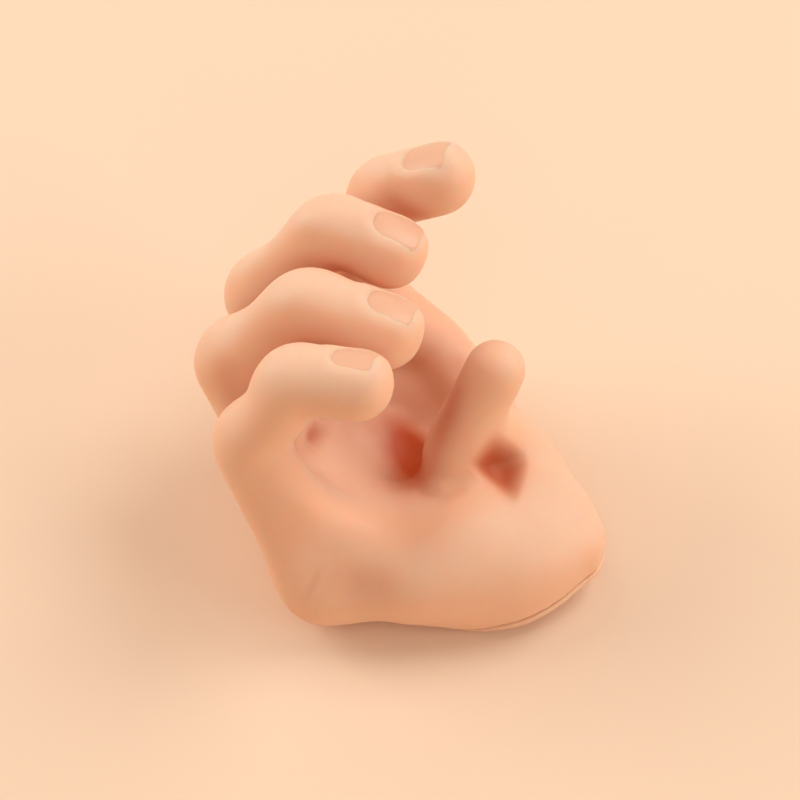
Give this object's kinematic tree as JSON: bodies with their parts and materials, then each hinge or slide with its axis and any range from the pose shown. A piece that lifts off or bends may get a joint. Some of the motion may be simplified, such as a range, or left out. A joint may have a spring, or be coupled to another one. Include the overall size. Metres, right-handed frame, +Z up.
{
  "type": "prop hand",
  "caption": "Soft cast right hand lying on its back, palm up, fingers curled over and thumb standing in the palm, cut at the heel and closed by a thin plate.",
  "frame": {"origin": "on the table face, under the middle of the palm", "axes": "+X towards the wrist, +Y towards the thumb side, +Z up out of the palm"},
  "size_m": [0.0987, 0.0901, 0.0831],
  "materials": {
    "skin": "soft flesh-coloured silicone with a faint gloss",
    "plate": "flesh-coloured, matt",
    "nail": "pink, satin",
    "core": "off-white, matt",
    "steel": "plain steel wire and screws"
  },
  "bodies": {
    "root": {"hand_skin": "skin", "wrist_plate": "plate", "palm_core": "core", "index_nail": "nail", "middle_nail": "nail", "ring_nail": "nail", "little_nail": "nail", "thumb_nail": "nail", "index_rod": "steel", "middle_rod": "steel", "ring_rod": "steel", "little_rod": "steel", "thumb_rod": "steel", "wrist_screw_1": "steel", "wrist_screw_2": "steel", "wrist_screw_3": "steel"}
  },
  "joints": []
}
